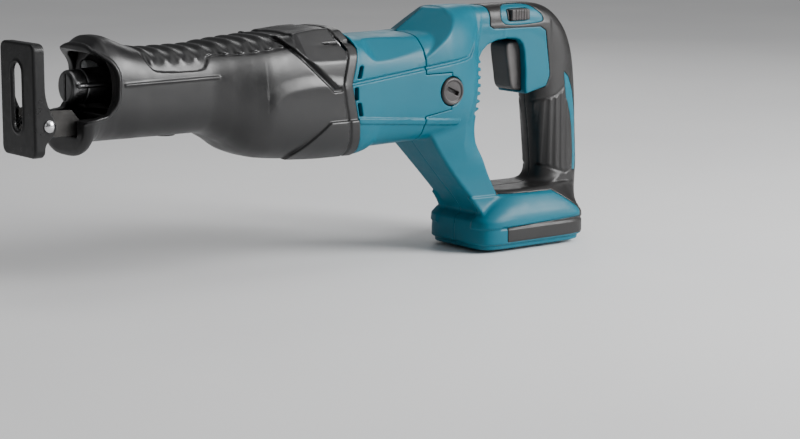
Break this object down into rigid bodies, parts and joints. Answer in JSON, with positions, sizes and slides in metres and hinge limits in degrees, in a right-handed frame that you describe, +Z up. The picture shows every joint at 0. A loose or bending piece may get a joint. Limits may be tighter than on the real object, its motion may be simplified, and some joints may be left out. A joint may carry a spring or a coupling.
{
  "type": "reciprocating saw",
  "caption": "Cordless reciprocating saw with a D-handle, rubber boot, pivoting shoe, tool-free blade clamp and a slide-on battery foot, shown without blade or battery.",
  "frame": {"origin": "middle of the underside of the whole tool, under the middle of its length", "axes": "+X from the nose to the handle along the stroke, -Y to the left side of the tool, +Z up"},
  "size_m": [0.4805, 0.0792, 0.1842],
  "materials": {
    "teal_shell": "fine moulded texture, satin",
    "boot_rubber": "smooth moulded rubber, satin sheen",
    "grip_rubber": "soft matte overmould",
    "shoe_steel": "blackened steel, satin",
    "bright_steel": "machined steel",
    "cast_alloy": "as cast",
    "motor_iron": "stacked and varnished",
    "dark_plastic": "fine matte texture",
    "lamp_lens": "clear moulded lens",
    "copper": "plain",
    "carbon": "pressed carbon",
    "red_insulation": "smooth insulation"
  },
  "bodies": {
    "root": {"motor_housing": "teal_shell", "handle_left": "teal_shell", "handle_right": "teal_shell", "boot": "boot_rubber", "rod_seal": "boot_rubber", "grip_left": "grip_rubber", "grip_right": "grip_rubber", "rod_bush_front": "bright_steel", "rod_bush_rear": "bright_steel", "gear_upper_bearing": "bright_steel", "gear_lower_bush": "bright_steel", "motor_front_bearing": "bright_steel", "motor_rear_bearing": "bright_steel", "brush_spring_left": "bright_steel", "brush_spring_right": "bright_steel", "handle_screw_1": "bright_steel", "handle_screw_2": "bright_steel", "handle_screw_3": "bright_steel", "handle_screw_4": "bright_steel", "handle_screw_5": "bright_steel", "gear_housing": "cast_alloy", "gear_housing_cover": "cast_alloy", "bearing_plate": "cast_alloy", "stator_can": "motor_iron", "magnet_left": "motor_iron", "magnet_right": "motor_iron", "front_collar": "dark_plastic", "led_board": "dark_plastic", "brush_cap_left": "dark_plastic", "brush_cap_right": "dark_plastic", "switch_body": "dark_plastic", "terminal_block": "dark_plastic", "led_lens": "lamp_lens", "brush_holder_left": "copper", "brush_holder_right": "copper", "terminal_plus": "copper", "terminal_minus": "copper", "carbon_brush_left": "carbon", "carbon_brush_right": "carbon", "lead_battery": "red_insulation", "lead_motor": "red_insulation"},
    "shoe_bar": {"shoe_bar": "bright_steel", "shoe_rivet": "bright_steel"},
    "shoe_plate": {"shoe_plate": "shoe_steel"},
    "shoe_latch": {"shoe_lock_button": "dark_plastic"},
    "plunger": {"plunger_rod": "bright_steel", "yoke": "bright_steel", "blade_holder": "shoe_steel", "clamp_spring": "bright_steel"},
    "clamp_sleeve": {"clamp_sleeve": "shoe_steel"},
    "armature": {"armature_shaft": "bright_steel", "armature_core": "motor_iron", "commutator": "copper", "fan": "dark_plastic", "pinion": "bright_steel"},
    "gear": {"bevel_gear": "bright_steel", "crank_pin": "bright_steel", "crank_roller": "bright_steel"},
    "trigger": {"trigger": "dark_plastic"},
    "lock_button": {"lock_button": "dark_plastic"}
  },
  "joints": [
    {"name": "motor_spin", "type": "hinge", "parent": "root", "child": "armature", "pos_m": [-0.0415, 0, 0.126], "axis": [1, 0, 0], "continuous": true},
    {"name": "gear_spin", "type": "hinge", "parent": "root", "child": "gear", "pos_m": [-0.0415, 0, 0.126], "axis": [0, 0, 1], "continuous": true},
    {"name": "plunger_stroke", "type": "slide", "parent": "root", "child": "plunger", "axis": [-1, 0, 0], "range_m": [-0.016, 0.016]},
    {"name": "clamp_twist", "type": "hinge", "parent": "plunger", "child": "clamp_sleeve", "pos_m": [-0.1815, 0, 0.146], "axis": [-1, 0, 0], "range_deg": [0, 70], "stiffness_Nm_per_rad": 0.2},
    {"name": "shoe_reach", "type": "slide", "parent": "root", "child": "shoe_bar", "axis": [-1, 0, 0], "range_m": [0, 0.03]},
    {"name": "shoe_tilt", "type": "hinge", "parent": "shoe_bar", "child": "shoe_plate", "pos_m": [-0.2305, 0, 0.124], "axis": [0, 1, 0], "range_deg": [-25, 25]},
    {"name": "shoe_release", "type": "slide", "parent": "root", "child": "shoe_latch", "axis": [0, 0, 1], "range_m": [0, 0.0032], "stiffness_N_per_m": 300},
    {"name": "trigger_pull", "type": "slide", "parent": "root", "child": "trigger", "axis": [1, 0, 0], "range_m": [0, 0.007], "stiffness_N_per_m": 400},
    {"name": "lock_push", "type": "slide", "parent": "root", "child": "lock_button", "axis": [0, 1, 0], "range_m": [0, 0.005]}
  ],
  "couplings": [
    {"joint": "gear_spin", "follows": "motor_spin", "ratio": 0.25}
  ]
}
